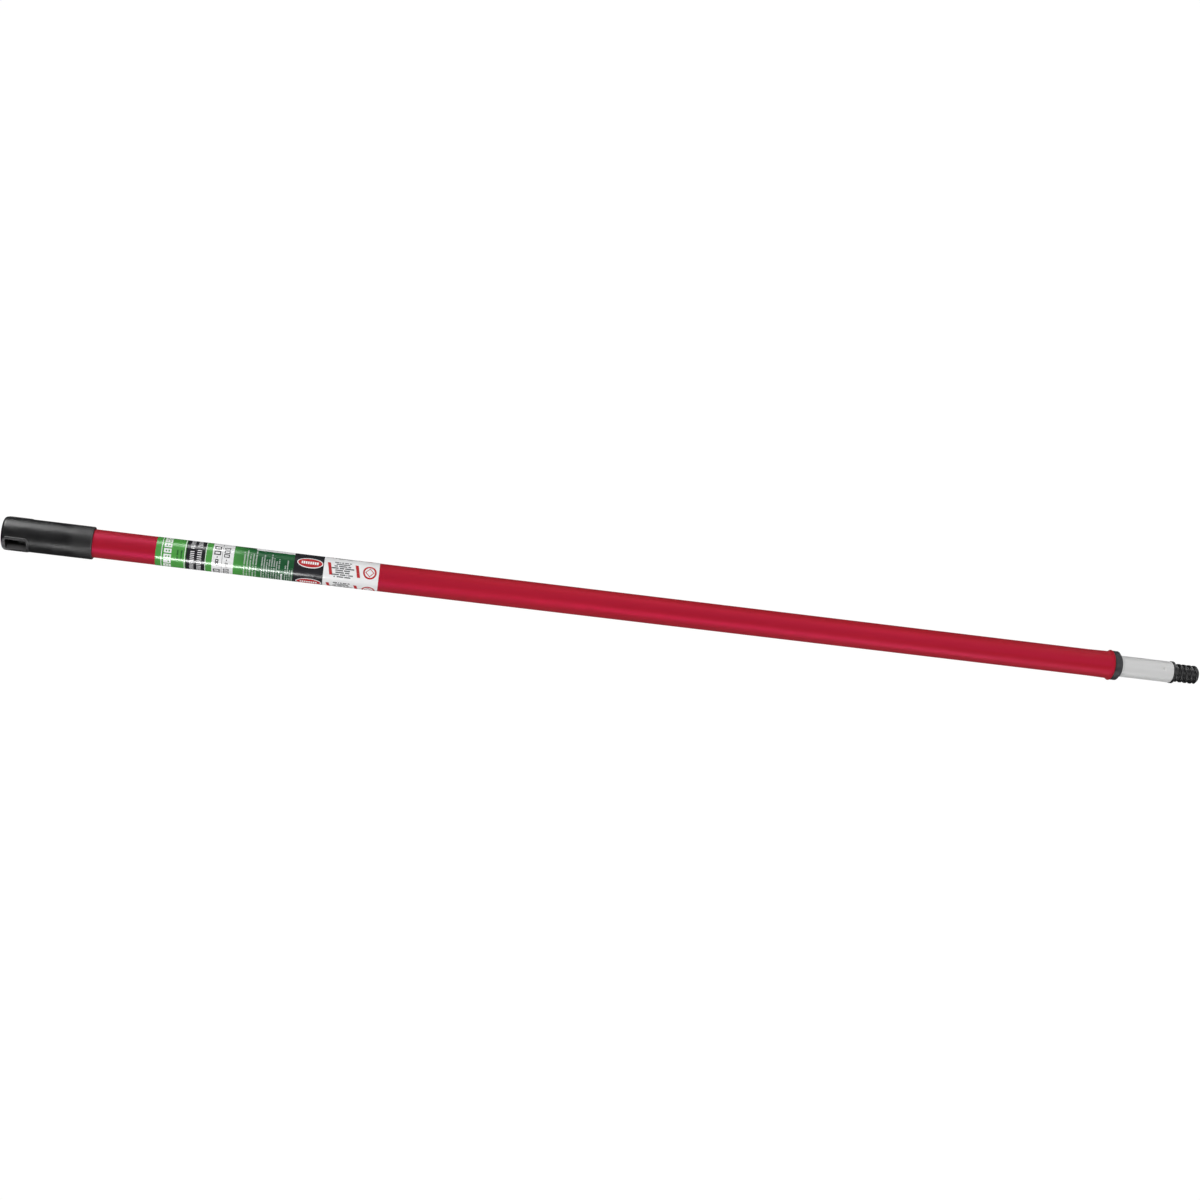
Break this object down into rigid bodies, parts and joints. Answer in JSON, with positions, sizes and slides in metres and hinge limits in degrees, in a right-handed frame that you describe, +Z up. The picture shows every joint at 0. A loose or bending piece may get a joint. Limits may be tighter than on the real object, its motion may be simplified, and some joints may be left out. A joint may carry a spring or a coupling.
{
  "type": "roller extension pole",
  "caption": "Telescoping painting pole: red outer tube with a slotted black hand grip, sliding bare metal inner tube held by a twist lock, and a threaded tip for a roller frame.",
  "frame": {"origin": "centre of the flat face at the butt of the hand grip, on the pole's axis", "axes": "+X along the pole's axis from the butt to the threaded tip, +Y through the grip's hanging slot, +Z up, square to both"},
  "size_m": [1.1198, 0.0306, 0.0293],
  "materials": {
    "grip_plastic": "satin",
    "red_paint": "gloss",
    "bush_plastic": "satin",
    "green_film": "gloss",
    "white_film": "gloss",
    "bare_aluminium": "satin",
    "tip_plastic": "satin",
    "lock_nylon": "satin",
    "screw_steel": "satin"
  },
  "bodies": {
    "outer_section": {"handle_grip": "grip_plastic", "outer_tube": "red_paint", "guide_bush": "bush_plastic", "product_label": "green_film", "notice_label": "white_film"},
    "lock_ring_body": {"lock_ring": "lock_nylon"},
    "inner_section": {"inner_tube": "bare_aluminium", "threaded_tip": "tip_plastic", "lock_plug": "lock_nylon", "lock_end_disc": "lock_nylon", "lock_washer": "screw_steel", "lock_screw": "screw_steel"}
  },
  "joints": [
    {"name": "extend", "type": "slide", "parent": "outer_section", "child": "lock_ring_body", "axis": [1, 0, 0], "range_m": [0, 0.889]},
    {"name": "twist", "type": "hinge", "parent": "lock_ring_body", "child": "inner_section", "pos_m": [0, 0, 0], "axis": [1, 0, 0], "range_deg": [-90, 90]}
  ]
}
